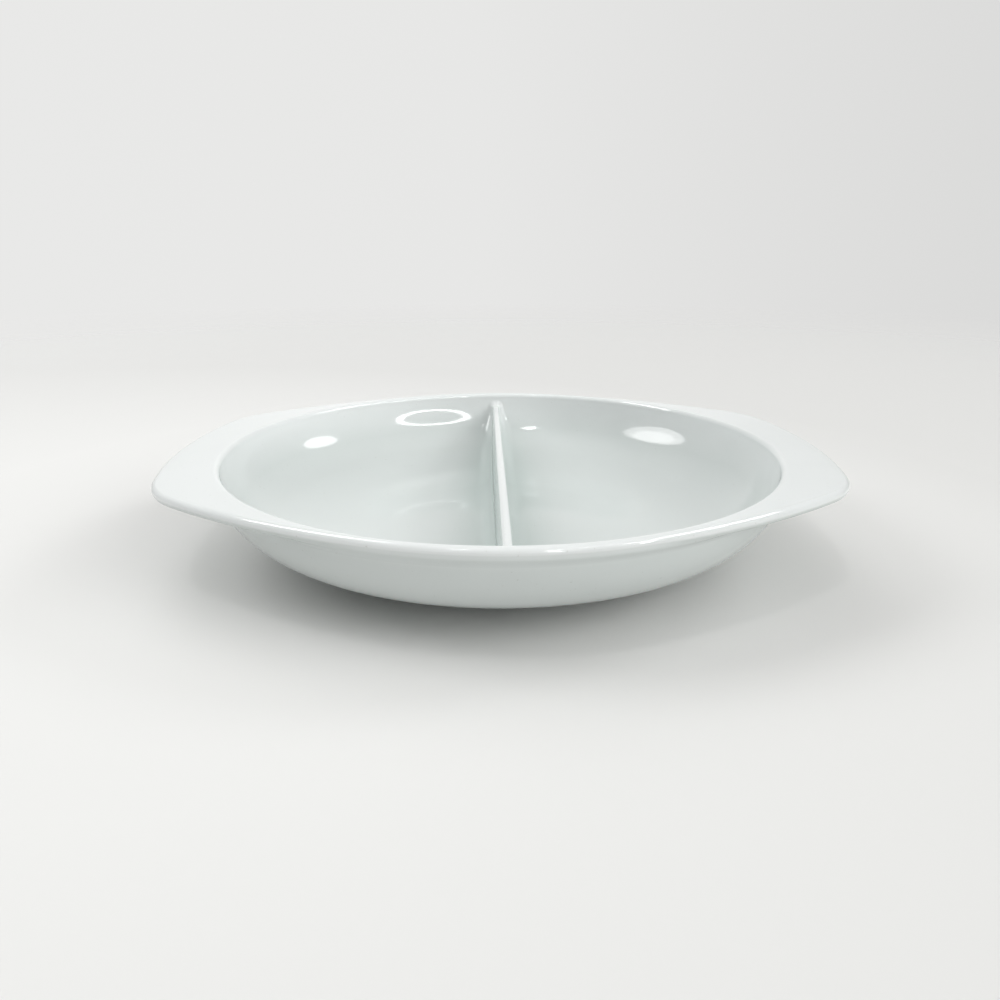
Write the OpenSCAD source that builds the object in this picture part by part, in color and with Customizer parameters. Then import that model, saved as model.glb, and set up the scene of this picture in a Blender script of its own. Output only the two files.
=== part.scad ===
// Divided serving bowl: a round glazed bowl with a flat rim, two broad tab handles
// and one low wall across the middle. All sizes are in millimetres.
// +X runs from handle to handle, +Y towards the back and +Z up. The origin lies on
// the table under the middle of the bowl.

/* [Well] */
// Width of the well at the inner edge of the rim
well_d = 254; // [210:1:310]
// Height from the table to the top of the rim
bowl_h = 45; // [42:0.5:60]
// Width of the flat part of the floor
floor_d = 110; // [80:1:130]
// Thickness of the wall and the floor
wall_t = 4; // [3:0.1:5]
// Outer radius of the shoulder, where the wall turns up to the rim
shoulder_r = 36.5; // [26:0.5:39]
// Slope of the wall where it meets the rim, in degrees from level
wall_slope = 80; // [74:1:85]

/* [Rim] */
// Thickness of the rim and of both handles
rim_t = 4.5; // [3:0.1:6]
// Width of the flat land between the two rounded edges of the rim
rim_land_w = 0.75; // [0.5:0.05:6]
// Radius of the rounded inner edge of the rim
lip_r = 2.5; // [1:0.1:3]

/* [Handles] */
// Distance that each handle reaches beyond the well
handle_reach = 20.5; // [15:0.25:28]
// Radius of the long outer edge of a handle
handle_edge_r = 232; // [170:1:300]
// Radius of the two corners of a handle
handle_corner_r = 43.5; // [20:0.5:60]
// Radius of the sides that sweep from the corners back to the rim
handle_side_r = 300; // [240:1:500]
// Angle from the X axis at which a handle's sides run into the rim
handle_root_angle = 69.5; // [66:0.5:75]

/* [Divider] */
// Thickness of the divider at its top
divider_t = 3.5; // [2.5:0.1:6]
// Distance from the top of the rim down to the top of the divider
divider_drop = 6.5; // [5:0.5:15]
// Slope of the divider's faces from upright, in degrees
divider_draft = 2.5; // [0:0.5:5]
// Radius of the divider's two top edges
divider_top_r = 1.2; // [0.5:0.1:1.2]
// Radius of the hollow fillets from the divider to the floor and the wall
divider_fillet_r = 8; // [3:0.5:12]

/* [Foot] */
// Width over the foot ring at the table
foot_d = 130; // [118:1:150]
// Height of the floor's underside over the table
foot_h = 3.5; // [2:0.1:5]
// Width of the band on which the foot ring stands
foot_land_w = 3.5; // [2:0.1:6]
// Radius of the two lower edges of the foot ring
foot_edge_r = 1; // [0.5:0.1:1.5]
// Slope of the foot ring's sides from upright, in degrees
foot_draft = 12; // [0:1:20]

/* [Hidden] */

// Colours of the glaze and of the bare foot
glaze = [0.90, 0.93, 0.92];
glaze_shade = [0.84, 0.89, 0.88];
glaze_light = [0.95, 0.97, 0.97];
bare_clay = [0.88, 0.86, 0.82];

// Steps in a rounded edge, a fillet, a curve of a handle in plan and a wall curve
edge_steps = 10;
fillet_steps = 7;
plan_steps = 20;
wall_steps = 14;
$fn = 180;

// Heights of the rim's underside, the floor's top and the divider's top
seat_z = bowl_h - rim_t;
floor_z = foot_h + wall_t;
divider_z = bowl_h - divider_drop;

// Length over both handles
overall_l = well_d + 2 * handle_reach;

// Radii round the middle of the bowl
well_r = well_d / 2;
floor_r = floor_d / 2;
edge_r = rim_t / 2;
joint_r = well_r + rim_land_w / 2;
seat_r = well_r + rim_land_w;
rim_r = seat_r + edge_r;
wall_top_r = well_r - lip_r + wall_t / sin(wall_slope);

// The shoulder rounds the turn from the belly up to the rim, as far as the wall is high
wall_rise = seat_z - foot_h;
shoulder_limit_share = 0.9;
turn_r = min(shoulder_r, shoulder_limit_share * wall_rise / (1 - cos(wall_slope)));

// The outer wall is a belly arc that leaves the flat floor level and runs into the
// shoulder arc. The belly's radius and the angle where they meet follow from both ends.
shoulder_run = wall_top_r - floor_r - turn_r * sin(wall_slope);
shoulder_rise = wall_rise - turn_r * (1 - cos(wall_slope));
centre_gap = (pow(shoulder_run, 2) + pow(shoulder_rise, 2)) / (2 * shoulder_rise);
belly_r = centre_gap + turn_r;
belly_angle = atan2(shoulder_run, centre_gap - shoulder_rise);
belly_c = [floor_r, foot_h + belly_r];
shoulder_c = [wall_top_r - turn_r * sin(wall_slope), seat_z + turn_r * cos(wall_slope)];

// Centres of a handle's curves in plan: the outer edge, the sides and the corners
root_dir = [cos(handle_root_angle), sin(handle_root_angle)];
outer_c = [overall_l / 2 - handle_edge_r, 0];
side_c = (rim_r - handle_side_r) * root_dir;
corner_c = circle_crossing(side_c, handle_side_r - handle_corner_r, outer_c, handle_edge_r - handle_corner_r);
outer_angle = atan2(corner_c.y, corner_c.x - outer_c.x);
corner_angle = atan2(corner_c.y - side_c.y, corner_c.x - side_c.x);

// Upper of the two points where a circle round a crosses a circle round b
function circle_crossing(a, ra, b, rb) =
    let (gap = norm(b - a))
    let (along = (ra * ra - rb * rb + gap * gap) / (2 * gap))
    let (across = sqrt(ra * ra - along * along))
    let (u = (b - a) / gap)
    a + along * u + across * (u.x < 0 ? [u.y, -u.x] : [-u.y, u.x]);

// Points on an arc round c from angle a to angle b
function arc(c, r, a, b, steps) =
    [for (i = [0:steps]) let (t = a + (b - a) * i / steps) c + r * [cos(t), sin(t)]];

// Wall surface from the floor's edge up to the rim, at a depth below the outer face
function wall_line(depth) = concat(
    arc(belly_c, belly_r - depth, -90, belly_angle - 90, wall_steps),
    arc(shoulder_c, turn_r - depth, belly_angle - 90, wall_slope - 90, wall_steps)
);

// Half section of all that lies inside a wall surface, up to a level
module inside_section(depth, top_z) {
    line = wall_line(depth);
    intersection() {
        polygon(concat([[0, line[0].y]], line, [[well_r, bowl_h], [0, bowl_h]]));
        square([rim_r, top_z]);
    }
}

module wall_section() {
    difference() {
        inside_section(0, seat_z);
        inside_section(wall_t, bowl_h);
        square([floor_r, bowl_h]);
    }
}

// Section of the rim from its rounded inner edge to the middle of the land
module rim_section() {
    inner_arc = arc([well_r, bowl_h - lip_r], lip_r, 180, 90, edge_steps);
    polygon(concat([[joint_r, seat_z], [well_r - lip_r, seat_z]], inner_arc, [[joint_r, bowl_h]]));
}

// Section of the rim from the middle of the land over its rounded outer edge
module edge_section() {
    outer_arc = arc([seat_r, seat_z + edge_r], edge_r, -90, 90, edge_steps);
    polygon(concat([[joint_r, seat_z]], outer_arc, [[joint_r, bowl_h]]));
}

// Places round an arc where a handle is sectioned, each the middle of the rounded edge
// there and the direction in which the edge faces
function stops(c, r, a, b) =
    [for (i = [0:plan_steps - 1]) let (t = a + (b - a) * i / plan_steps) [c + r * [cos(t), sin(t)], t]];

// Stops from the root at +Y along the outside of the handle to the root at -Y
function handle_stops() =
    let (corner_other = [corner_c.x, -corner_c.y], side_other = [side_c.x, -side_c.y])
    concat(
        stops(side_c, handle_side_r - edge_r, handle_root_angle, corner_angle),
        stops(corner_c, handle_corner_r - edge_r, corner_angle, outer_angle),
        stops(outer_c, handle_edge_r - edge_r, outer_angle, -outer_angle),
        stops(corner_other, handle_corner_r - edge_r, -outer_angle, -corner_angle),
        stops(side_other, handle_side_r - edge_r, -corner_angle, -handle_root_angle),
        [[seat_r * [root_dir.x, -root_dir.y], -handle_root_angle]]
    );

// Section of a handle at a stop: two corners on the rim and the rounded edge between them
function handle_ring(stop) =
    let (p = stop[0], facing = [cos(stop[1]), sin(stop[1])])
    let (root = joint_r * p / norm(p))
    concat(
        [[root.x, root.y, seat_z], [root.x, root.y, bowl_h]],
        [for (q = arc([0, seat_z + edge_r], edge_r, 90, -90, edge_steps))
            let (xy = p + q.x * facing) [xy.x, xy.y, q.y]]
    );

// Solid through a row of rings that have as many points each
module loft(rings) {
    n = len(rings[0]);
    last = len(rings) - 1;
    sides = [for (i = [0:last - 1], j = [0:n - 1]) let (k = (j + 1) % n)
        [i * n + j, i * n + k, i * n + n + k, i * n + n + j]];
    caps = [[for (j = [n - 1:-1:0]) j], [for (j = [0:n - 1]) last * n + j]];
    polyhedron([for (ring = rings, p = ring) p], concat(sides, caps));
}

module handle() {
    loft([for (stop = handle_stops()) handle_ring(stop)]);
}

// Section of the divider's upright web, with sloping faces and rounded top edges
module web_section() {
    foot_half = divider_t / 2 + (divider_z - floor_z) * tan(divider_draft);
    c = [divider_t / 2 - divider_top_r, divider_z - divider_top_r];
    half = concat([[foot_half, floor_z]], arc(c, divider_top_r, 0, 90, edge_steps));
    for (s = [-1, 1])
        polygon(concat([[0, floor_z]], [for (p = half) [s * p.x, p.y]], [[0, divider_z]]));
}

// The web's foot with its two hollow fillets: x runs across the web and y away from
// the surface that the web grows from, which the foot laps by the wall's thickness
function flare_points() =
    let (half = divider_t / 2)
    let (c = [half + divider_fillet_r, divider_fillet_r])
    let (side = concat([[c.x, -wall_t]], arc(c, divider_fillet_r, -90, -180, fillet_steps)))
    concat(side, [for (i = [len(side) - 1:-1:0]) [-side[i].x, side[i].y]]);

// The flared foot swept up a wall arc, from one angle to another
module flare_sweep(c, r, from_angle, to_angle) {
    translate([0, c.x, c.y])
        rotate([0, 90, 0])
            rotate([0, 0, from_angle])
                rotate_extrude(angle = to_angle - from_angle)
                    polygon([for (p = flare_points()) [r - p.y, p.x]]);
}

module floor_disc() {
    color(glaze_shade)
        translate([0, 0, foot_h])
            cylinder(r = floor_r, h = wall_t);
}

module bowl_wall() {
    color(glaze)
        rotate_extrude()
            wall_section();
}

module rim_band() {
    color(glaze_light) {
        rotate_extrude()
            rim_section();
        for (turn = [0, 180])
            rotate([0, 0, turn + handle_root_angle])
                rotate_extrude(angle = 180 - 2 * handle_root_angle)
                    edge_section();
    }
}

module left_handle() {
    color(glaze_light)
        mirror([1, 0, 0])
            handle();
}

module right_handle() {
    color(glaze_light)
        handle();
}

module divider() {
    color(glaze)
        intersection() {
            rotate_extrude()
                inside_section(wall_t, divider_z);
            union() {
                rotate([90, 0, 0])
                    linear_extrude(well_d, center = true)
                        web_section();
                rotate([90, 0, 0])
                    linear_extrude(floor_d, center = true)
                        translate([0, floor_z])
                            polygon(flare_points());
                for (end = [0, 1])
                    mirror([0, end, 0]) {
                        flare_sweep(belly_c, belly_r - wall_t, 0, belly_angle);
                        flare_sweep(shoulder_c, turn_r - wall_t, belly_angle, wall_slope);
                    }
            }
        }
}

module foot_ring() {
    outer_c = [foot_d / 2 - foot_edge_r, foot_edge_r];
    inner_c = [foot_d / 2 - foot_land_w - foot_edge_r, foot_edge_r];
    spread = (foot_h + wall_t) * tan(foot_draft);
    color(bare_clay)
        rotate_extrude()
            difference() {
                polygon(concat(
                    arc(inner_c, foot_edge_r, 180, 270, edge_steps),
                    arc(outer_c, foot_edge_r, -90, 0, edge_steps),
                    [
                        [outer_c.x + foot_edge_r + spread, foot_h + wall_t],
                        [inner_c.x - foot_edge_r - spread, foot_h + wall_t]
                    ]
                ));
                inside_section(0, seat_z);
            }
}

floor_disc();
bowl_wall();
rim_band();
left_handle();
right_handle();
divider();
foot_ring();
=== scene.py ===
"""Looks of the divided serving bowl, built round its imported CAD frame."""
import math

import bpy
import numpy as np
from mathutils import Matrix, Vector


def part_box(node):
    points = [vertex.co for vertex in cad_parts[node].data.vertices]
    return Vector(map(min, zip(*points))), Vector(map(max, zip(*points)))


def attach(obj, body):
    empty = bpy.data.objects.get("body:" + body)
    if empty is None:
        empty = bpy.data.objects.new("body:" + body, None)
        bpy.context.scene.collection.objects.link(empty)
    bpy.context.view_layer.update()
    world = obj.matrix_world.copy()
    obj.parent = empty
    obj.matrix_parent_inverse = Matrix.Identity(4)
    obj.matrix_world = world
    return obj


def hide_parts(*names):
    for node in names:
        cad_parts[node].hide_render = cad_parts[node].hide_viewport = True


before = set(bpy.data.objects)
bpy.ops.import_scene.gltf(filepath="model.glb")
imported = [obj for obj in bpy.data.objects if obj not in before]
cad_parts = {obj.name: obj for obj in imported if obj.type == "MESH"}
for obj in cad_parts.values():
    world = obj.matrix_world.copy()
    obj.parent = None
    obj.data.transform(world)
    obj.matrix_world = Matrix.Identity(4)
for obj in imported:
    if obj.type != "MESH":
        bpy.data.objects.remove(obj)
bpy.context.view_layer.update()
MM = 0.001

# Sizes of the bowl in millimetres, as in the part's source. The handles' sides leave the rim in the
# direction ROOT from the long axis.
WELL_R = 127.0
BOWL_H = 45.0
FLOOR_R = 55.0
WALL_T = 4.0
SHOULDER_R = 36.5
WALL_SLOPE = math.radians(80)
RIM_T = 4.5
LAND = 0.75
CAD_LIP_R = 2.5
HANDLE_EDGE_R = 232.0
HANDLE_CORNER_R = 43.5
HANDLE_SIDE_R = 300.0
ROOT = math.radians(69.5)
DIVIDER_HALF = 1.75
DIVIDER_Z = BOWL_H - 6.5
DIVIDER_DRAFT = math.radians(2.5)
DIVIDER_TOP_R = 1.2
FOOT_R = 65.0
FOOT_H = 3.5
FOOT_LAND = 3.5
FOOT_EDGE_R = 1.0
FOOT_DRAFT = math.radians(12)

# Radii of the soft corners of the glaze, and the heights over which two of them grow downwards
LIP_R = 2.1
CREASE_TOP_R, CREASE_R, CREASE_DROP = 1.1, 2.8, 2.5
FOOT_FILLET_R = 1.6
TOP_FILLET_R, LOW_FILLET_R, FILLET_DROP = 3.2, 8.0, 18.0

# Lines and circles of the section, worked out from the sizes
EDGE_R = RIM_T / 2
SEAT_Z = BOWL_H - RIM_T
MID_Z = BOWL_H - EDGE_R
SEAT_R = WELL_R + LAND
JOINT_R = WELL_R + LAND / 2
RIM_R = SEAT_R + EDGE_R
WALL_TOP_R = WELL_R - CAD_LIP_R + WALL_T / math.sin(WALL_SLOPE)
RUN = WALL_TOP_R - FLOOR_R - SHOULDER_R * math.sin(WALL_SLOPE)
RISE = SEAT_Z - FOOT_H - SHOULDER_R * (1 - math.cos(WALL_SLOPE))
GAP = (RUN ** 2 + RISE ** 2) / (2 * RISE)
BELLY_R = GAP + SHOULDER_R
BELLY_ANGLE = math.atan2(RUN, GAP - RISE)
BELLY_C = (FLOOR_R, FOOT_H + BELLY_R)
SHOULDER_C = (WALL_TOP_R - SHOULDER_R * math.sin(WALL_SLOPE), SEAT_Z + SHOULDER_R * math.cos(WALL_SLOPE))

# Circles of the handles' outline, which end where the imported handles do
HALF_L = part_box("right_handle")[1][0] / MM
OUTER_C = (HALF_L - HANDLE_EDGE_R, 0.0)
SIDE_C = ((RIM_R - HANDLE_SIDE_R) * math.cos(ROOT), (RIM_R - HANDLE_SIDE_R) * math.sin(ROOT))


def circle_crossing(a, ra, b, rb):
    """Upper of the two points where a circle round a crosses a circle round b."""
    gap = math.dist(a, b)
    along = (ra * ra - rb * rb + gap * gap) / (2 * gap)
    across = math.sqrt(ra * ra - along * along)
    ux, uy = (b[0] - a[0]) / gap, (b[1] - a[1]) / gap
    nx, ny = (uy, -ux) if ux < 0 else (-uy, ux)
    return (a[0] + along * ux + across * nx, a[1] + along * uy + across * ny)


CORNER_C = circle_crossing(SIDE_C, HANDLE_SIDE_R - HANDLE_CORNER_R, OUTER_C, HANDLE_EDGE_R - HANDLE_CORNER_R)
OUTER_ANGLE = math.atan2(CORNER_C[1], CORNER_C[0] - OUTER_C[0])
CORNER_ANGLE = math.atan2(CORNER_C[1] - SIDE_C[1], CORNER_C[0] - SIDE_C[0])


# Distances outside the forms of the bowl, less than zero within them
def smooth_union(a, b, r):
    """Union of two distances with a hollow fillet of radius r."""
    u, v = np.maximum(r - a, 0), np.maximum(r - b, 0)
    return np.maximum(r, np.minimum(a, b)) - np.hypot(u, v)


def smooth_cut(a, b, r):
    """Intersection of two distances with a rounded edge of radius r."""
    u, v = np.maximum(r + a, 0), np.maximum(r + b, 0)
    return np.minimum(-r, np.maximum(a, b)) + np.hypot(u, v)


def growing(top, low, drop, depth):
    """A radius that grows smoothly from top to low as the depth below its start reaches drop."""
    t = np.clip(depth / drop, 0, 1)
    return top + (low - top) * t * t * (3 - 2 * t)


def past_belly(r, z):
    """Whether a point lies beyond the line on which the belly's arc gives way to the shoulder's."""
    return (r - BELLY_C[0]) * math.cos(BELLY_ANGLE) + (z - BELLY_C[1]) * math.sin(BELLY_ANGLE) > 0


def plan_distance(x, y):
    """Distance in plan to the line round which the rim's outer edge is rounded."""
    x, y = np.abs(x), np.abs(y)
    ring = np.hypot(x, y) - SEAT_R
    side = np.hypot(x - SIDE_C[0], y - SIDE_C[1]) - (HANDLE_SIDE_R - EDGE_R)
    corner = np.hypot(x - CORNER_C[0], y - CORNER_C[1]) - (HANDLE_CORNER_R - EDGE_R)
    outer = np.hypot(x - OUTER_C[0], y) - (HANDLE_EDGE_R - EDGE_R)
    at_side = np.arctan2(y - SIDE_C[1], x - SIDE_C[0]) > CORNER_ANGLE
    at_corner = np.arctan2(y, x - OUTER_C[0]) > OUTER_ANGLE
    handle = np.where(at_side, side, np.where(at_corner, corner, outer))
    return np.where(np.arctan2(y, x) > ROOT, ring, handle)


def wall_distance(r, z):
    """Distance outside the bowl's outer face; the inner face lies WALL_T within it."""
    belly = np.hypot(r - BELLY_C[0], z - BELLY_C[1]) - BELLY_R
    shoulder = np.hypot(r - SHOULDER_C[0], z - SHOULDER_C[1]) - SHOULDER_R
    return np.where(r < FLOOR_R, FOOT_H - z, np.where(past_belly(r, z), shoulder, belly))


def foot_distance(r, z):
    """Distance outside the foot, a drafted ring that runs up into the wall."""
    c, s = math.cos(FOOT_DRAFT), math.sin(FOOT_DRAFT)
    inner = FOOT_R - FOOT_LAND - 2 * FOOT_EDGE_R
    outside_face = (r - FOOT_R) * c - (z - FOOT_EDGE_R) * s
    inside_face = (inner - r) * c - (z - FOOT_EDGE_R) * s
    ring = smooth_cut(np.maximum(outside_face, inside_face), -z, FOOT_EDGE_R)
    return np.maximum(ring, z - FOOT_H - WALL_T / 2)


def outside(p):
    """Distance outside the whole bowl as if its well were filled."""
    x, y, z = p[..., 0], p[..., 1], p[..., 2]
    r = np.hypot(x, y)
    plate = np.hypot(np.maximum(plan_distance(x, y), 0), z - MID_Z) - EDGE_R
    shell = np.maximum(wall_distance(r, z), z - MID_Z)
    crease = growing(CREASE_TOP_R, CREASE_R, CREASE_DROP, MID_Z - z)
    return smooth_union(smooth_union(plate, shell, crease), foot_distance(r, z), FOOT_FILLET_R)


def well(p):
    """Distance above the surface of the well."""
    r = np.hypot(p[..., 0], p[..., 1])
    return -(wall_distance(r, p[..., 2]) + WALL_T)


def bowl(p):
    """Distance outside the bowl without its divider."""
    return smooth_cut(outside(p), well(p), LIP_R)


# The toe of the divider's fillet runs this far below the surface of the well, so that it shows no step
TOE_DEPTH = 0.004


def divider_body(p):
    """Distance outside the divider, filleted into the surface of the well."""
    x, z = np.abs(p[..., 0]), p[..., 2]
    face = (x - DIVIDER_HALF - (DIVIDER_Z - z) * math.tan(DIVIDER_DRAFT)) * math.cos(DIVIDER_DRAFT)
    web = smooth_cut(face, z - DIVIDER_Z, DIVIDER_TOP_R)
    fillet = growing(TOP_FILLET_R, LOW_FILLET_R, FILLET_DROP, DIVIDER_Z - z)
    return smooth_union(well(p) + TOE_DEPTH, web, fillet)


# Points are moved onto such a surface in a few rounds
SETTLE_ROUNDS = 6
SLOPE_STEP = 1e-3
LEAST_SLOPE = 0.05
TINY = 1e-6


def gradient(f, p):
    """Slope of f at the points p, by small steps both ways."""
    g = np.empty_like(p)
    for i in range(p.shape[-1]):
        e = np.zeros(p.shape[-1])
        e[i] = SLOPE_STEP
        g[..., i] = (f(p + e) - f(p - e)) / (2 * SLOPE_STEP)
    return g


def settle(f, p, rounds=SETTLE_ROUNDS):
    """Points moved along the slope of f onto its zero surface."""
    for _ in range(rounds):
        g = gradient(f, p)
        p = p - (f(p) / np.maximum((g * g).sum(-1), LEAST_SLOPE))[..., None] * g
    return p


def normals(f, p):
    """Unit normals of the surface of f at the points p."""
    g = gradient(f, p)
    return g / np.maximum(np.linalg.norm(g, axis=-1, keepdims=True), TINY)


# Columns round the bowl, with one on each end of a handle
PER_HANDLE, PER_SIDE = 208, 64
RIGHT_THETA = np.linspace(-ROOT, ROOT, PER_HANDLE + 1)[:-1]
BACK_THETA = np.linspace(ROOT, math.pi - ROOT, PER_SIDE + 1)[:-1]
THETA = np.concatenate([RIGHT_THETA, BACK_THETA, RIGHT_THETA + math.pi, BACK_THETA + math.pi])
COLS = len(THETA)
DIRS = np.stack([np.cos(THETA), np.sin(THETA)], -1)
ALL = np.arange(COLS)
RIGHT_COLS = np.arange(0, PER_HANDLE + 1)
LEFT_COLS = np.arange(PER_HANDLE + PER_SIDE, 2 * PER_HANDLE + PER_SIDE + 1)
BACK_COLS = np.arange(PER_HANDLE, PER_HANDLE + PER_SIDE + 1)
FRONT_COLS = np.arange(2 * PER_HANDLE + PER_SIDE, COLS + 1) % COLS


def ray_to_circle(c, r, u):
    """Distance from the origin along the directions u to the far side of a circle."""
    dot = u[:, 0] * c[0] + u[:, 1] * c[1]
    return dot + np.sqrt(np.maximum(dot * dot - c[0] ** 2 - c[1] ** 2 + r * r, 0))


def edge_line(theta):
    """Points of the rim's edge line in the directions theta, and which way it faces there."""
    a = np.arctan2(np.abs(np.sin(theta)), np.abs(np.cos(theta)))
    u = np.stack([np.cos(a), np.sin(a)], -1)

    def end(c, r, t):
        return math.atan2(c[1] + r * math.sin(t), c[0] + r * math.cos(t))

    side_r, corner_r, outer_r = HANDLE_SIDE_R - EDGE_R, HANDLE_CORNER_R - EDGE_R, HANDLE_EDGE_R - EDGE_R
    side_end = end(SIDE_C, side_r, CORNER_ANGLE)
    corner_end = end(CORNER_C, corner_r, OUTER_ANGLE)
    arcs = [((0.0, 0.0), SEAT_R, a >= ROOT),
            (SIDE_C, side_r, (a < ROOT) & (a >= side_end)),
            (CORNER_C, corner_r, (a < side_end) & (a >= corner_end)),
            (OUTER_C, outer_r, a < corner_end)]
    point, facing = np.zeros_like(u), np.zeros_like(u)
    for c, r, here in arcs:
        q = ray_to_circle(c, r, u)[:, None] * u
        point[here], facing[here] = q[here], ((q - np.array(c)) / r)[here]
    sign = np.stack([np.sign(np.cos(theta)), np.sign(np.sin(theta))], -1)
    return point * sign, facing * sign


def ease(n, power=1.0):
    """Shares from 0 to 1, closer together at the end where power is over 1."""
    return 1 - (1 - np.linspace(0, 1, n)) ** power


def turned(profile):
    """Rings of points from a half section given as rows of (r, z)."""
    profile = np.asarray(profile)
    rings = np.empty((len(profile), COLS, 3))
    rings[..., :2] = profile[:, None, :1] * DIRS[None]
    rings[..., 2] = profile[:, 1][:, None]
    return rings


def lifted(xy, z):
    """Points in plan with a height, one for all or one for each."""
    return np.concatenate([xy, np.broadcast_to(np.reshape(z, (-1, 1)), (len(xy), 1))], 1)


def arc_rows(c, r, angles):
    """Rows of (r, z) on a circle of the section."""
    return [(c[0] + r * math.cos(t), c[1] + r * math.sin(t)) for t in angles]


def wall_profile(depth, shares):
    """Rows up the wall at a depth, from the floor's edge to the rim, by shares of its length."""
    belly, shoulder = BELLY_R - depth, SHOULDER_R - depth
    first = belly * BELLY_ANGLE
    total = first + shoulder * (WALL_SLOPE - BELLY_ANGLE)
    rows = []
    for s in np.asarray(shares) * total:
        if s <= first:
            rows += arc_rows(BELLY_C, belly, [s / belly - math.pi / 2])
        else:
            rows += arc_rows(SHOULDER_C, shoulder, [BELLY_ANGLE + (s - first) / shoulder - math.pi / 2])
    return rows


# How many rows each stretch of the skin has, how they crowd towards its end, and how far up the outer
# wall, as a share of its length, the neck below the rim begins
FLOOR_ROWS, INNER_ROWS, LIP_ROWS = 20, 64, 11
LAND_ROWS, BEAD_ROWS, UNDER_ROWS, NECK_ROWS = 9, 15, 9, 6
OUTER_ROWS, FOOT_ARC_ROWS, FOOT_FACE_ROWS, UNDERSIDE_ROWS = 60, 8, 6, 18
INNER_EASE, UNDER_EASE, OUTER_EASE = 1.25, 1.6, 0.9
NECK_END = 0.955
SEAT_LIFT = 0.2
MIDDLE_R = 2.0


def inside_skin():
    """Rings over the floor, up the wall and over the lip to the joint with the handles."""
    floor_rows = [(r, FOOT_H + WALL_T) for r in np.linspace(MIDDLE_R, FLOOR_R, FLOOR_ROWS)]
    inner_rows = wall_profile(WALL_T, ease(INNER_ROWS, INNER_EASE))[1:]
    lip_rows = arc_rows((WELL_R, BOWL_H - LIP_R), LIP_R, np.linspace(math.pi, math.pi / 2, LIP_ROWS))
    lip_rows += [(JOINT_R, BOWL_H)]
    return settle(bowl, turned(floor_rows + inner_rows + lip_rows))


# How finely the end of the rounded edge is looked for, and how rows are spread: a turn of one radian
# counts as much as TURN_WEIGHT millimetres
TURN_TRIES = 400
TURN_WEIGHT = 6.0
SPREAD_ROUNDS = 2


def bead_end(point, facing):
    """How far the rounded edge turns under before it meets the outer wall."""
    for t in np.linspace(-math.pi / 2, 0, TURN_TRIES):
        q = point + EDGE_R * math.cos(t) * facing
        if wall_distance(math.hypot(*q), MID_Z + EDGE_R * math.sin(t)) > 0:
            return t
    return -math.pi / 2


def spread(part):
    """The same rows laid out anew, column by column, evenly by their length and their turn."""
    n = normals(bowl, part)
    turn = np.arccos(np.clip((n[1:] * n[:-1]).sum(-1), -1, 1))
    steps = np.linalg.norm(np.diff(part, axis=0), axis=-1) + TURN_WEIGHT * turn
    reach = np.concatenate([np.zeros((1, COLS)), np.cumsum(steps, axis=0)])
    out = part.copy()
    for j in range(COLS):
        even = np.linspace(0, reach[-1, j], len(part))
        for k in range(3):
            out[1:-1, j, k] = np.interp(even, reach[:, j], part[:, j, k])[1:-1]
    out[1:-1] = settle(bowl, out[1:-1])
    return out


def edge_skin():
    """Rings over the land, the rounded edge and the underside to the top of the outer wall."""
    line_point, line_facing = edge_line(THETA)
    ring_point = JOINT_R * DIRS
    land_rings = [lifted(ring_point + (line_point - ring_point) * t, BOWL_H)
                  for t in np.linspace(0, 1, LAND_ROWS)[1:]]
    turn_end = np.array([bead_end(point, facing) for point, facing in zip(line_point, line_facing)])
    bead_rings = []
    for s in np.linspace(0, 1, BEAD_ROWS)[1:]:
        t = math.pi / 2 + s * (turn_end - math.pi / 2)
        xy = line_point + EDGE_R * np.cos(t)[:, None] * line_facing
        bead_rings.append(lifted(xy, MID_Z + EDGE_R * np.sin(t)))
    start = bead_rings[-1]
    beyond_wall = np.linalg.norm(start[:, :2], axis=1)[:, None] > WALL_TOP_R
    seat = np.where(beyond_wall, WALL_TOP_R * DIRS, start[:, :2])
    corner = lifted(seat, np.minimum(start[:, 2], SEAT_Z + SEAT_LIFT))
    under_rings = [start + (corner - start) * s for s in ease(UNDER_ROWS, UNDER_EASE)[1:]]
    neck_rings = list(turned(wall_profile(0, 1 - (1 - NECK_END) * ease(NECK_ROWS))[1:]))
    rings = settle(bowl, np.stack(land_rings + bead_rings + under_rings + neck_rings))
    bead = LAND_ROWS - 2
    crease = bead + BEAD_ROWS - 1 + UNDER_ROWS - 1
    for _ in range(SPREAD_ROUNDS):
        for first, last in ((bead, crease), (crease, len(rings) - 1)):
            rings[first:last + 1] = spread(rings[first:last + 1])
    return rings


# Rough rows of the foot's two flanks, as (offset, height), which settle() puts in their place
FOOT_REACH = 1.0
FLANK_OUT = ((1.2, 3.9), (0.6, 3.7), (0.0, 3.4), (-0.4, 2.6), (-0.7, 1.8))
FLANK_IN = ((0.7, 1.8), (0.4, 2.6), (0.0, 3.3), (-0.6, 3.5), (-1.2, 3.5))
FOOT_CLEAR = 1.5


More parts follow.
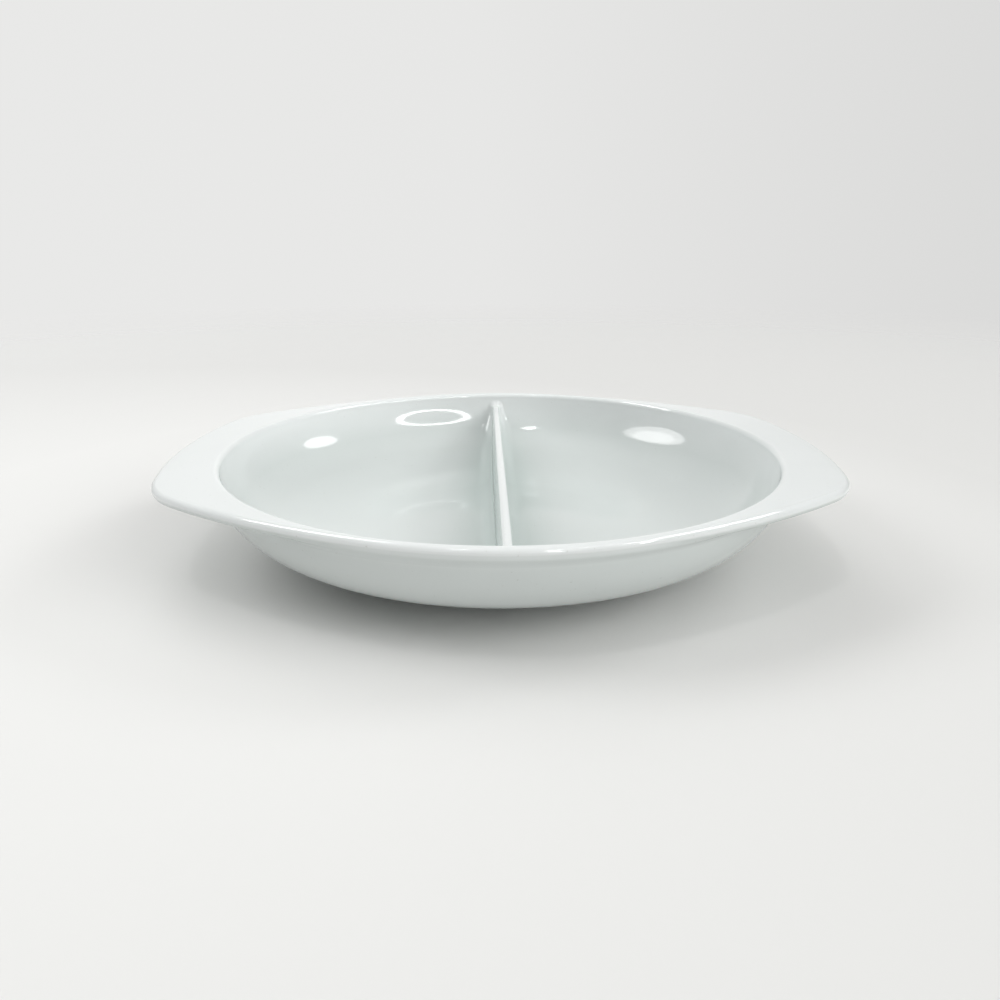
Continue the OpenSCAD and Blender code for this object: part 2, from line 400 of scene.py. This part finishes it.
def lower_rows():
    """Rows of the outer wall below the neck, of the foot, and of the underside within it."""
    foot_out = FOOT_R + FOOT_REACH
    foot_in = FOOT_R - FOOT_LAND - 2 * FOOT_EDGE_R - FOOT_REACH
    face_out, face_in = FOOT_R - FOOT_EDGE_R, FOOT_R - FOOT_LAND - FOOT_EDGE_R
    down_wall = wall_profile(0, NECK_END * (1 - ease(OUTER_ROWS, OUTER_EASE)))
    outer = [row for row in down_wall if row[0] > foot_out + FOOT_CLEAR][1:]
    quarter = np.linspace(0, math.pi / 2, FOOT_ARC_ROWS)
    foot = [(foot_out + off, z) for off, z in FLANK_OUT]
    foot += arc_rows((face_out, FOOT_EDGE_R), FOOT_EDGE_R, -quarter)
    foot += [(x, 0.0) for x in np.linspace(face_out, face_in, FOOT_FACE_ROWS)[1:-1]]
    foot += arc_rows((face_in, FOOT_EDGE_R), FOOT_EDGE_R, quarter - math.pi)[::-1]
    foot += [(foot_in + off, z) for off, z in FLANK_IN]
    underside = [(r, FOOT_H) for r in np.linspace(FLOOR_R, MIDDLE_R, UNDERSIDE_ROWS)]
    return outer, foot, underside


# The whole skin from the middle of the floor over the rim to the middle of the underside
inside_rings, edge_rings = inside_skin(), edge_skin()
OUTER, FOOT, UNDERSIDE = lower_rows()
SKIN = np.concatenate([inside_rings, edge_rings, settle(bowl, turned(OUTER + FOOT + UNDERSIDE))])
SKIN_N = normals(bowl, SKIN)

# Rings on which one piece ends and the next begins
FLOOR_EDGE = FLOOR_ROWS - 1
INNER_EDGE = FLOOR_EDGE + INNER_ROWS - 1
JOINT = len(inside_rings) - 1
CREASE = JOINT + LAND_ROWS - 1 + BEAD_ROWS - 1 + UNDER_ROWS - 1
FOOT_START = len(inside_rings) + len(edge_rings) + len(OUTER) - 1
UNDER_EDGE = FOOT_START + 1 + len(FOOT)
LAST = len(SKIN) - 1


def make_mesh(name, verts, faces, norms):
    """An object from points in millimetres, with its own normals."""
    mesh = bpy.data.meshes.new(name)
    mesh.from_pydata([tuple(v * MM for v in p) for p in verts], [], faces)
    mesh.polygons.foreach_set("use_smooth", [True] * len(mesh.polygons))
    mesh.update()
    mesh.normals_split_custom_set_from_vertices([tuple(n) for n in norms])
    return linked(name, mesh)


def linked(name, data):
    """A new object in the scene."""
    obj = bpy.data.objects.new(name, data)
    bpy.context.scene.collection.objects.link(obj)
    return obj


class Shell:
    """A closed mesh put together from rings of shared points."""

    def __init__(self):
        self.verts, self.norms, self.faces, self.index = [], [], [], {}

    def vert(self, i, j):
        """The point of the skin in ring i and column j, taken once."""
        key = (i, j % COLS)
        if key not in self.index:
            self.index[key] = len(self.verts)
            self.verts.append(SKIN[key])
            self.norms.append(SKIN_N[key])
        return self.index[key]

    def face(self, *ids):
        """A face, with points that are the same written once."""
        self.faces.append(tuple(dict.fromkeys(ids)))

    def row(self, i0, i1, cols, closed):
        """One row of faces between two rings."""
        pairs = list(zip(cols, np.roll(cols, -1))) if closed else list(zip(cols[:-1], cols[1:]))
        for a, b in pairs:
            self.face(self.vert(i0, a), self.vert(i1, a), self.vert(i1, b), self.vert(i0, b))

    def band(self, i0, i1, cols=ALL, closed=True):
        """Skin from ring i0 to ring i1 over a run of columns."""
        for i in range(i0, i1):
            self.row(i, i + 1, cols, closed)

    def bridge(self, i0, i1, cols=ALL, closed=True):
        """One row of hidden faces from ring i0 straight to ring i1."""
        self.row(i0, i1, cols, closed)

    def middle(self, i, z, up):
        """A fan from a ring to its middle."""
        m = len(self.verts)
        self.verts.append(np.array((0.0, 0.0, z)))
        self.norms.append(np.array((0.0, 0.0, 1.0 if up else -1.0)))
        for a in range(COLS):
            ids = (self.vert(i, a), self.vert(i, a + 1))
            self.face(m, *ids) if up else self.face(m, *ids[::-1])

    def ends(self, cols):
        """Hidden faces that close both ends of a run of columns between joint and crease."""
        for col, flip in ((cols[0], True), (cols[-1], False)):
            ids = [self.vert(i, col) for i in range(JOINT, CREASE + 1)]
            self.face(*(ids[::-1] if flip else ids))

    def build(self, name):
        """The shell as an object."""
        return make_mesh(name, self.verts, self.faces, self.norms)


def floor_disc():
    """The floor of the well and the underside within the foot."""
    floor = Shell()
    floor.middle(0, FOOT_H + WALL_T, True)
    floor.band(0, FLOOR_EDGE)
    floor.bridge(FLOOR_EDGE, UNDER_EDGE)
    floor.band(UNDER_EDGE, LAST)
    floor.middle(LAST, FOOT_H, False)
    return floor.build("glazed_floor")


def bowl_wall():
    """The wall from the floor's edge to the rim, inside and outside."""
    wall = Shell()
    wall.band(FLOOR_EDGE, INNER_EDGE)
    wall.bridge(INNER_EDGE, CREASE)
    wall.band(CREASE, FOOT_START)
    wall.bridge(FOOT_START, UNDER_EDGE)
    wall.bridge(UNDER_EDGE, FLOOR_EDGE)
    return wall.build("glazed_wall")


def rim_band():
    """The rim: its lip all round, its rounded edge in front and at the back, and seats for the handles."""
    rim = Shell()
    rim.band(INNER_EDGE, JOINT)
    for cols in (BACK_COLS, FRONT_COLS):
        rim.band(JOINT, CREASE, cols, closed=False)
        rim.ends(cols)
    for cols in (RIGHT_COLS, LEFT_COLS):
        rim.bridge(JOINT, CREASE, cols, closed=False)
    rim.bridge(CREASE, INNER_EDGE)
    return rim.build("glazed_rim")


def handle(name, cols):
    """One handle, over its own run of columns."""
    lug = Shell()
    lug.band(JOINT, CREASE, cols, closed=False)
    lug.bridge(CREASE, JOINT, cols, closed=False)
    lug.ends(cols)
    return lug.build("glazed_" + name)


def foot_ring():
    """The ring that the bowl stands on."""
    foot = Shell()
    foot.band(FOOT_START, UNDER_EDGE)
    foot.bridge(UNDER_EDGE, FOOT_START)
    return foot.build("standing_foot")


# The divider: at each station along the surface of the well a section is traced on the divider's own
# surface, from the toe of the fillet on one side to the middle of the top
FLOOR_STATIONS, WALL_STATIONS = 30, 150
OVER_TOP = 3.2
HALF_POINTS = 24
TOE_X = 12.6
TRACE_STEP, TRACE_LENGTH = 0.12, 56.0
BEND_WINDOW, MOST_BEND = 9, 1.5
LENGTH_SHARE, BEND_SHARE = 0.22, 2.6
TRACE_ROUNDS, SECTION_ROUNDS = 2, 3
ROOT_DEPTH = 1.0


def station_path():
    """Stations (y, z) across the well from rim to rim, and the way up from the surface at each."""
    floor_part = [(y, FOOT_H + WALL_T) for y in np.linspace(0, FLOOR_R, FLOOR_STATIONS)]
    wall_part = [row for row in wall_profile(WALL_T, ease(WALL_STATIONS)) if row[1] < DIVIDER_Z + OVER_TOP]
    half = np.array(floor_part[:-1] + wall_part)
    up = np.zeros_like(half)
    for i, (y, z) in enumerate(half):
        if y < FLOOR_R:
            up[i] = (0, 1)
        else:
            cy, cz = SHOULDER_C if past_belly(y, z) else BELLY_C
            gap = math.hypot(cy - y, cz - z)
            up[i] = ((cy - y) / gap, (cz - z) / gap)
    mirror = [-1, 1]
    return np.concatenate([half[:0:-1] * mirror, half]), np.concatenate([up[:0:-1] * mirror, up])


STATION, STATION_UP = station_path()


def in_space(q):
    """Points in space from points (x, height) in each station's plane, the stations along the first axis."""
    shape = (len(STATION),) + (1,) * (q.ndim - 2)
    p = np.empty(q.shape[:-1] + (3,))
    p[..., 0] = q[..., 0]
    for axis in (0, 1):
        p[..., axis + 1] = STATION[:, axis].reshape(shape) + q[..., 1] * STATION_UP[:, axis].reshape(shape)
    return p


def section_distance(q):
    """Distance outside the divider of points in the stations' planes."""
    return divider_body(in_space(q))


def traced_sections():
    """A track at each station that follows the divider's surface up to its middle."""
    q = np.zeros((len(STATION), 2))
    q[:, 0] = TOE_X
    q = settle(section_distance, q)
    track = [q]
    for _ in range(int(TRACE_LENGTH / TRACE_STEP)):
        g = gradient(section_distance, q)
        g /= np.linalg.norm(g, axis=1, keepdims=True)
        ahead = q + TRACE_STEP * np.stack([-g[:, 1], g[:, 0]], 1)
        ahead = settle(section_distance, ahead, TRACE_ROUNDS)
        q = np.where(q[:, :1] <= 0, q, ahead)
        track.append(q)
    return np.stack(track, 1)


def half_section(row):
    """HALF_POINTS of a track, closer together where it bends, the last on the middle of the top."""
    row = row[: np.argmax(row[:, 0] <= 0) + 1].copy()
    a, b = row[-2], row[-1]
    row[-1] = a + (b - a) * a[0] / (a[0] - b[0])
    step = np.diff(row, axis=0)
    length = np.hypot(*step.T)
    turn = np.abs(np.diff(np.unwrap(np.arctan2(step[:, 1], step[:, 0]))))
    bend = np.concatenate([[0], turn]) / np.maximum(length, TINY)
    bend = np.minimum(np.convolve(bend, np.ones(BEND_WINDOW) / BEND_WINDOW, "same"), MOST_BEND)
    weight = np.concatenate([[0], np.cumsum(length * (LENGTH_SHARE + BEND_SHARE * bend))])
    at = np.linspace(0, weight[-1], HALF_POINTS)
    return np.stack([np.interp(at, weight, row[:, 0]), np.interp(at, weight, row[:, 1])], 1)


def divider():
    """The ridge over all stations, closed by a flat root within the wall."""
    section = np.stack([half_section(row) for row in traced_sections()])
    for k in range(1, HALF_POINTS - 1):
        section[:, k] = settle(section_distance, section[:, k], SECTION_ROUNDS)
    ridge = in_space(np.concatenate([section, (section * [-1, 1])[:, -2::-1]], 1))
    rows, across = ridge.shape[:2]
    deep = STATION - ROOT_DEPTH * STATION_UP
    roots = [lifted(np.stack([np.full(rows, side * TOE_X), deep[:, 0]], 1), deep[:, 1]) for side in (1, -1)]
    verts = list(ridge.reshape(-1, 3)) + list(roots[0]) + list(roots[1])
    norms = list(normals(divider_body, ridge).reshape(-1, 3)) + [(0, 0, -1)] * (2 * rows)
    right_root, left_root = rows * across, rows * across + rows
    faces = []
    for i in range(rows - 1):
        for k in range(across - 1):
            a = i * across + k
            faces.append((a, a + across, a + across + 1, a + 1))
        faces.append((i * across, right_root + i, right_root + i + 1, (i + 1) * across))
        faces.append(((i + 1) * across - 1, (i + 2) * across - 1, left_root + i + 1, left_root + i))
        faces.append((right_root + i, left_root + i, left_root + i + 1, right_root + i + 1))
    last = rows - 1
    faces.append(tuple(range(across)) + (left_root, right_root))
    far_end = tuple(range(rows * across - 1, last * across - 1, -1))
    faces.append(far_end + (right_root + last, left_root + last))
    return make_mesh("glazed_divider", verts, faces, norms)


pieces = {"floor_disc": floor_disc(), "bowl_wall": bowl_wall(), "rim_band": rim_band(),
          "right_handle": handle("right_handle", RIGHT_COLS), "left_handle": handle("left_handle", LEFT_COLS),
          "foot_ring": foot_ring(), "divider": divider()}


# Nodes of the materials
def feed(tree, socket, value):
    """A constant, or another node's output, on a socket."""
    if isinstance(value, bpy.types.NodeSocket):
        tree.links.new(value, socket)
    else:
        socket.default_value = value


def new_material(name):
    """A material with its node tree and its shader."""
    mat = bpy.data.materials.new(name)
    mat.use_nodes = True
    return mat, mat.node_tree, mat.node_tree.nodes["Principled BSDF"]


def math_of(tree, operation, *values, clamp=False):
    """A Math node's result."""
    node = tree.nodes.new("ShaderNodeMath")
    node.operation = operation
    node.use_clamp = clamp
    for socket, value in zip(node.inputs, values):
        feed(tree, socket, value)
    return node.outputs[0]


def share_of(tree, value, low, high, at_low=0.0, at_high=1.0, curve="LINEAR"):
    """How far a value has come from low to high."""
    node = tree.nodes.new("ShaderNodeMapRange")
    node.interpolation_type = curve
    feed(tree, node.inputs["Value"], value)
    for key, number in (("From Min", low), ("From Max", high), ("To Min", at_low), ("To Max", at_high)):
        node.inputs[key].default_value = number
    return node.outputs["Result"]


def mix_of(tree, factor, a, b, blend="MIX"):
    """Two colours mixed."""
    node = tree.nodes.new("ShaderNodeMix")
    node.data_type = "RGBA"
    node.blend_type = blend
    for key, value in (("Factor", factor), ("A", a), ("B", b)):
        feed(tree, node.inputs[key], value)
    return node.outputs["Result"]


def axis_of(tree, vector, axis):
    """One part, X, Y or Z, of a vector."""
    node = tree.nodes.new("ShaderNodeSeparateXYZ")
    feed(tree, node.inputs["Vector"], vector)
    return node.outputs[axis]


def noise_of(tree, place, scale, detail):
    """Noise from 0 to 1 at a place."""
    node = tree.nodes.new("ShaderNodeTexNoise")
    for key, value in (("Vector", place), ("Scale", scale), ("Detail", detail)):
        feed(tree, node.inputs[key], value)
    return node.outputs["Fac"]


WHITE = (1, 1, 1, 1)
# Colours of the glaze where it is lit from above and where it is in painted shade
LIT_GLAZE, SHADED_GLAZE = (0.80, 0.828, 0.825, 1), (0.648, 0.69, 0.679, 1)
# Heights, in metres, between which the glaze goes from lit to painted shade, and how far a face must turn
# down to count as underneath and painted in shade
LIT_ABOVE, SHADED_BELOW = 0.041, 0.026
UNDER_STARTS, UNDER_FULL = 0.1, -0.3
CLOUD_SCALE, CLOUD_DETAIL, CLOUD_LOW, CLOUD_HIGH, CLOUD_DEPTH = 16.0, 3.0, 0.35, 0.65, 0.08
SPECK_SCALE, SPECK_DETAIL, SPECK_STARTS, SPECK_FULL = 900.0, 1.0, 0.74, 0.80
SPECK = (0.86, 0.86, 0.84, 1)
# Painted shade along the foot of the divider, in a wedge that widens down the wall
DIVIDER_SHADE_NEAR, DIVIDER_SHADE_FAR, DIVIDER_SHADE_TINT = 0.010, 0.040, (0.77, 0.815, 0.80, 1)
WAVE_SCALE, WAVE_DETAIL, WAVE_STRENGTH, WAVE_DEPTH = 22.0, 2.0, 0.05, 0.002
GLAZE_ROUGH, GLAZE_IOR = 0.07, 1.52
# The bare foot
BARE_TOP, BARE_FADE = 0.0007, 0.0001
CLAY, CLAY_ROUGH = (0.62, 0.58, 0.52, 1), 0.75


def glaze(name, bare_foot=False, divider_shade=False):
    """Glossy white glaze with painted light and shade, lighter at the top and darker lower down and on faces
    turned down, and, if asked, painted shade beside the divider; fine specks and a faint waviness; bare clay
    under the foot.
    """
    mat, t, bsdf = new_material(name)
    bsdf.inputs["Roughness"].default_value = GLAZE_ROUGH
    bsdf.inputs["IOR"].default_value = GLAZE_IOR
    place = t.nodes.new("ShaderNodeTexCoord").outputs["Object"]
    height = axis_of(t, place, "Z")
    facing = axis_of(t, t.nodes.new("ShaderNodeNewGeometry").outputs["Normal"], "Z")
    # Painted light and shade: the glaze is lighter near the top, darker lower down and on faces turned down
    under = share_of(t, facing, UNDER_STARTS, UNDER_FULL)
    painted_shade = math_of(t, "MAXIMUM", share_of(t, height, LIT_ABOVE, SHADED_BELOW), under)
    clouds = noise_of(t, place, CLOUD_SCALE, CLOUD_DETAIL)
    cloud = share_of(t, clouds, CLOUD_LOW, CLOUD_HIGH, -CLOUD_DEPTH, CLOUD_DEPTH)
    coat = mix_of(t, math_of(t, "ADD", painted_shade, cloud, clamp=True), LIT_GLAZE, SHADED_GLAZE)
    ramp = t.nodes.new("ShaderNodeValToRGB")
    for stop, at, colour in zip(ramp.color_ramp.elements, (SPECK_STARTS, SPECK_FULL), (WHITE, SPECK)):
        stop.position = at
        stop.color = colour
    feed(t, ramp.inputs["Fac"], noise_of(t, place, SPECK_SCALE, SPECK_DETAIL))
    colour = mix_of(t, 1.0, coat, ramp.outputs["Color"], "MULTIPLY")
    # Painted shade beside the divider: a darker green wedge, left off faces turned down
    if divider_shade:
        reach = math_of(t, "ADD", math_of(t, "ABSOLUTE", axis_of(t, place, "X")), height)
        clear = math_of(t, "MAXIMUM", share_of(t, reach, DIVIDER_SHADE_NEAR, DIVIDER_SHADE_FAR, curve="SMOOTHSTEP"), under)
        colour = mix_of(t, 1.0, colour, mix_of(t, clear, DIVIDER_SHADE_TINT, WHITE), "MULTIPLY")
    if bare_foot:
        glazed = share_of(t, height, BARE_TOP, BARE_TOP + BARE_FADE)
        feed(t, bsdf.inputs["Roughness"], share_of(t, glazed, 0.0, 1.0, CLAY_ROUGH, GLAZE_ROUGH))
        colour = mix_of(t, glazed, CLAY, colour)
    feed(t, bsdf.inputs["Base Color"], colour)
    bump = t.nodes.new("ShaderNodeBump")
    bump.inputs["Strength"].default_value = WAVE_STRENGTH
    bump.inputs["Distance"].default_value = WAVE_DEPTH
    feed(t, bump.inputs["Height"], noise_of(t, place, WAVE_SCALE, WAVE_DETAIL))
    feed(t, bsdf.inputs["Normal"], bump.outputs["Normal"])
    return mat


LOOKS = {"well_glaze": glaze("well_glaze_look", divider_shade=True), "rim_glaze": glaze("rim_glaze_look"),
         "foot_clay": glaze("foot_glaze_look", bare_foot=True)}
WELL_PIECES = ("floor_disc", "bowl_wall", "divider")
RIM_PIECES = ("rim_band", "left_handle", "right_handle")
SLOTS = {node: "well_glaze" for node in WELL_PIECES}
SLOTS.update({node: "rim_glaze" for node in RIM_PIECES}, foot_ring="foot_clay")
for node, obj in pieces.items():
    obj.data.materials.append(LOOKS[SLOTS[node]])
    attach(obj, "root")
    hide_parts(node)

# The table: pale paper with painted shade, a little darker away from the bowl and to the right, that fades
# into the backdrop.
# Its places are in the object's own units, of TABLE_HALF metres.
TABLE_HALF = 4.0
PAPER_LIT, PAPER_SHADED = (0.775, 0.775, 0.765, 1), (0.69, 0.69, 0.68, 1)
PAPER_ROUGH, PAPER_SHINE = 0.9, 0.1
DARKER_FROM, DARKER_TO, RIGHT_LEAN = 0.0425, 0.1125, 0.5
FADE_FROM, FADE_TO = 0.08, 0.33


def paper():
    """The table's matt paper."""
    mat, t, bsdf = new_material("paper")
    place = t.nodes.new("ShaderNodeTexCoord").outputs["Object"]
    span = t.nodes.new("ShaderNodeVectorMath")
    span.operation = "LENGTH"
    feed(t, span.inputs[0], place)
    away = span.outputs["Value"]
    # Painted shade: the paper darkens away from the bowl and to the right
    off = math_of(t, "MULTIPLY_ADD", axis_of(t, place, "X"), RIGHT_LEAN, away)
    tone = mix_of(t, share_of(t, off, DARKER_FROM, DARKER_TO), PAPER_LIT, PAPER_SHADED)
    feed(t, bsdf.inputs["Base Color"], tone)
    bsdf.inputs["Roughness"].default_value = PAPER_ROUGH
    bsdf.inputs["Specular IOR Level"].default_value = PAPER_SHINE
    blend = t.nodes.new("ShaderNodeMixShader")
    feed(t, blend.inputs["Fac"], share_of(t, away, FADE_FROM, FADE_TO))
    feed(t, blend.inputs[1], bsdf.outputs["BSDF"])
    feed(t, blend.inputs[2], t.nodes.new("ShaderNodeBsdfTransparent").outputs["BSDF"])
    feed(t, t.nodes["Material Output"].inputs["Surface"], blend.outputs["Shader"])
    return mat


table_mesh = bpy.data.meshes.new("table_top")
table_mesh.from_pydata([(-1, -1, 0), (1, -1, 0), (1, 1, 0), (-1, 1, 0)], [], [(0, 1, 2, 3)])
table_mesh.materials.append(paper())
table_obj = linked("table_top", table_mesh)
table_obj.scale = (TABLE_HALF, TABLE_HALF, 1)

# The tent, as lobes of light: direction, tightness, brightness. What the glaze mirrors leaves out the tight
# lobes, which would show in it as glows, and the camera sees a plain backdrop.
WIDE_LOBES = (((0, 0, 1), 8.0, 1.05), ((0.4, -0.6, 0.68), 6.0, 0.48), ((-0.85, 0.45, 0.3), 3.0, 0.38),
              ((0, -1, 0.25), 4.0, 0.455), ((0, 1, 0.1), 8.0, 0.88))
TIGHT_LOBES = (((-0.3, 0.6, 0.74), 20.0, 2.34), ((0.7, -0.5, 0.5), 20.0, 4.04),
               ((0.85, -0.1, 0.52), 20.0, 1.9))
BACKDROP_LOBES = (((-1, 0, 0), 1.0, 0.03), ((1, 0, 0), 1.0, -0.17))
MIRRORED_LEVEL, BACKDROP_LEVEL = 0.08, 0.80
TENT_COLOUR = (1.0, 1.0, 0.99, 1)


def lobes_of(tree, level, lobes):
    """Brightness of the tent: a level, and more of it round each lobe's direction."""
    place = tree.nodes.new("ShaderNodeTexCoord").outputs["Generated"]
    total = level
    for direction, tightness, brightness in lobes:
        lean = tree.nodes.new("ShaderNodeVectorMath")
        lean.operation = "DOT_PRODUCT"
        lean.inputs[1].default_value = Vector(direction).normalized()
        feed(tree, lean.inputs[0], place)
        near = math_of(tree, "POWER", math_of(tree, "MAXIMUM", lean.outputs["Value"], 0.0), tightness)
        total = math_of(tree, "ADD", math_of(tree, "MULTIPLY", near, brightness), total)
    return total


def light_tent():
    """The world, with its own brightness for what lights, what is mirrored and what the camera sees."""
    world = bpy.data.worlds.new("studio")
    bpy.context.scene.world = world
    world.use_nodes = True
    t = world.node_tree
    path = t.nodes.new("ShaderNodeLightPath")
    seen = lobes_of(t, 0.0, WIDE_LOBES + TIGHT_LOBES)
    for ray, level, lobes in (("Is Glossy Ray", MIRRORED_LEVEL, WIDE_LOBES),
                              ("Is Camera Ray", BACKDROP_LEVEL, BACKDROP_LOBES)):
        pick = t.nodes.new("ShaderNodeMix")
        pick.data_type = "FLOAT"
        feed(t, pick.inputs["Factor"], path.outputs[ray])
        feed(t, pick.inputs["A"], seen)
        feed(t, pick.inputs["B"], lobes_of(t, level, lobes))
        seen = pick.outputs["Result"]
    feed(t, t.nodes["Background"].inputs["Strength"], seen)
    t.nodes["Background"].inputs["Color"].default_value = TENT_COLOUR


light_tent()

# The lamps, each where its highlight on the bowl points back to, in metres
LIT = Vector((0, 0, 0.03))
RIGHT_AT, RIGHT_SIZE, RIGHT_GLOW = (1.84, 0.647, 1.32), (0.65, 0.65), 7.0
LEFT_AT, LEFT_SIZE, LEFT_GLOW = (-1.83, 0.24, 1.47), (1.1, 1.15), 5.2
CORE_AT, CORE_SIZE, CORE_GLOW = (-1.70, 0.27, 1.49), (0.72, 0.76), 3.2
SPOT_AT, SPOT_SIZE, SPOT_GLOW = (-0.411, -0.734, 2.23), (0.17, 0.30), 22.0
LEFT_LINE_AT, LEFT_LINE_SIZE, LEFT_LINE_ALONG = (-1.15, 0.55, 1.84), (1.2, 0.4), (0.371, 0.168, 0.174)
RIGHT_LINE_AT, RIGHT_LINE_SIZE, RIGHT_LINE_ALONG = (1.52, 0.05, 1.60), (1.3, 0.4), (0.03, 0.45, -0.09)
LINE_GLOW = 15.0
GLINT_NEARER, GLINT_SHARE = 0.97, 0.9


def lamp(name, at, size, glow, along=None, glint_on=None):
    """A soft oval lamp of a given brightness; a glint lamp only mirrors, in the pieces it names."""
    data = bpy.data.lights.new(name, "AREA")
    data.shape = "ELLIPSE"
    data.size, data.size_y = size
    data.energy = glow * size[0] * size[1] * math.pi / 4 * math.pi
    obj = linked(name, data)
    obj.location = at
    obj.visible_camera = False
    out = (Vector(at) - LIT).normalized()
    if along is None:
        obj.rotation_euler = (-out).to_track_quat("-Z", "Y").to_euler()
    else:
        side = (Vector(along) - out * out.dot(Vector(along))).normalized()
        obj.rotation_euler = Matrix((side, out.cross(side), out)).transposed().to_euler()
    if glint_on:
        obj.visible_diffuse = False
        group = bpy.data.collections.new(name + "_pieces")
        for node in glint_on:
            group.objects.link(pieces[node])
        obj.light_linking.receiver_collection = group
    return obj


def soft_lamp(name, at, size, glow):
    """A soft lamp that lights everything, and its mirror image in the well alone."""
    lamp(name, at, size, glow).visible_glossy = False
    nearer = LIT + (Vector(at) - LIT) * GLINT_NEARER
    lamp(name + "_glint", nearer, size, glow * GLINT_SHARE, glint_on=WELL_PIECES)


soft_lamp("right_soft", RIGHT_AT, RIGHT_SIZE, RIGHT_GLOW)
soft_lamp("left_soft", LEFT_AT, LEFT_SIZE, LEFT_GLOW)
lamp("left_core", CORE_AT, CORE_SIZE, CORE_GLOW, glint_on=WELL_PIECES)
lamp("small_spot", SPOT_AT, SPOT_SIZE, SPOT_GLOW)
lamp("rim_left_glint", LEFT_LINE_AT, LEFT_LINE_SIZE, LINE_GLOW, LEFT_LINE_ALONG, RIM_PIECES)
lamp("rim_right_glint", RIGHT_LINE_AT, RIGHT_LINE_SIZE, LINE_GLOW, RIGHT_LINE_ALONG, RIM_PIECES)

# A ring lamp beside the camera, seen only as a mirror image in the bowl
RING_AT, RING_TO = Vector((0.83, -1.04, 1.14)), Vector((-0.04, 0.1, 0.03))
RING_R, RING_TUBE, RING_GLOW = 0.465, 0.055, 14.0
RING_N, TUBE_N = 64, 8
RING_COLOUR = (0.8, 0.8, 0.8, 1)


def ring_lamp():
    """A glowing ring on a mesh of its own."""
    turn = (RING_TO - RING_AT).to_track_quat("-Z", "Y")
    verts, faces = [], []
    for i in range(RING_N):
        for k in range(TUBE_N):
            a, b = 2 * math.pi * i / RING_N, 2 * math.pi * k / TUBE_N
            r = RING_R + RING_TUBE * math.cos(b)
            place = Vector((r * math.cos(a), r * math.sin(a), RING_TUBE * math.sin(b)))
            verts.append(tuple(RING_AT + turn @ place))
            here, there = i * TUBE_N, (i + 1) % RING_N * TUBE_N
            k2 = (k + 1) % TUBE_N
            faces.append((here + k, there + k, there + k2, here + k2))
    mesh = bpy.data.meshes.new("ring_lamp")
    mesh.from_pydata(verts, [], faces)
    glow, _, bsdf = new_material("ring_glow")
    bsdf.inputs["Base Color"].default_value = RING_COLOUR
    bsdf.inputs["Emission Color"].default_value = WHITE
    bsdf.inputs["Emission Strength"].default_value = RING_GLOW
    mesh.materials.append(glow)
    obj = linked("ring_lamp", mesh)
    obj.visible_diffuse = False
    obj.visible_camera = False


ring_lamp()

# The camera stands where the photograph's perspective puts it
CAMERA_AT = (-0.00842, -0.3633, 0.1393)
CAMERA_TILT, CAMERA_TURN = math.radians(71.539), math.radians(-1.308)
CAMERA_LENS, CAMERA_NEAR = 28.85, 0.01
camera_data = bpy.data.cameras.new("camera")
camera_data.lens = CAMERA_LENS
camera_data.clip_start = CAMERA_NEAR
camera = linked("camera", camera_data)
camera.location = CAMERA_AT
camera.rotation_euler = (CAMERA_TILT, 0, CAMERA_TURN)
bpy.context.scene.camera = camera
bpy.context.scene.view_settings.view_transform = "Standard"
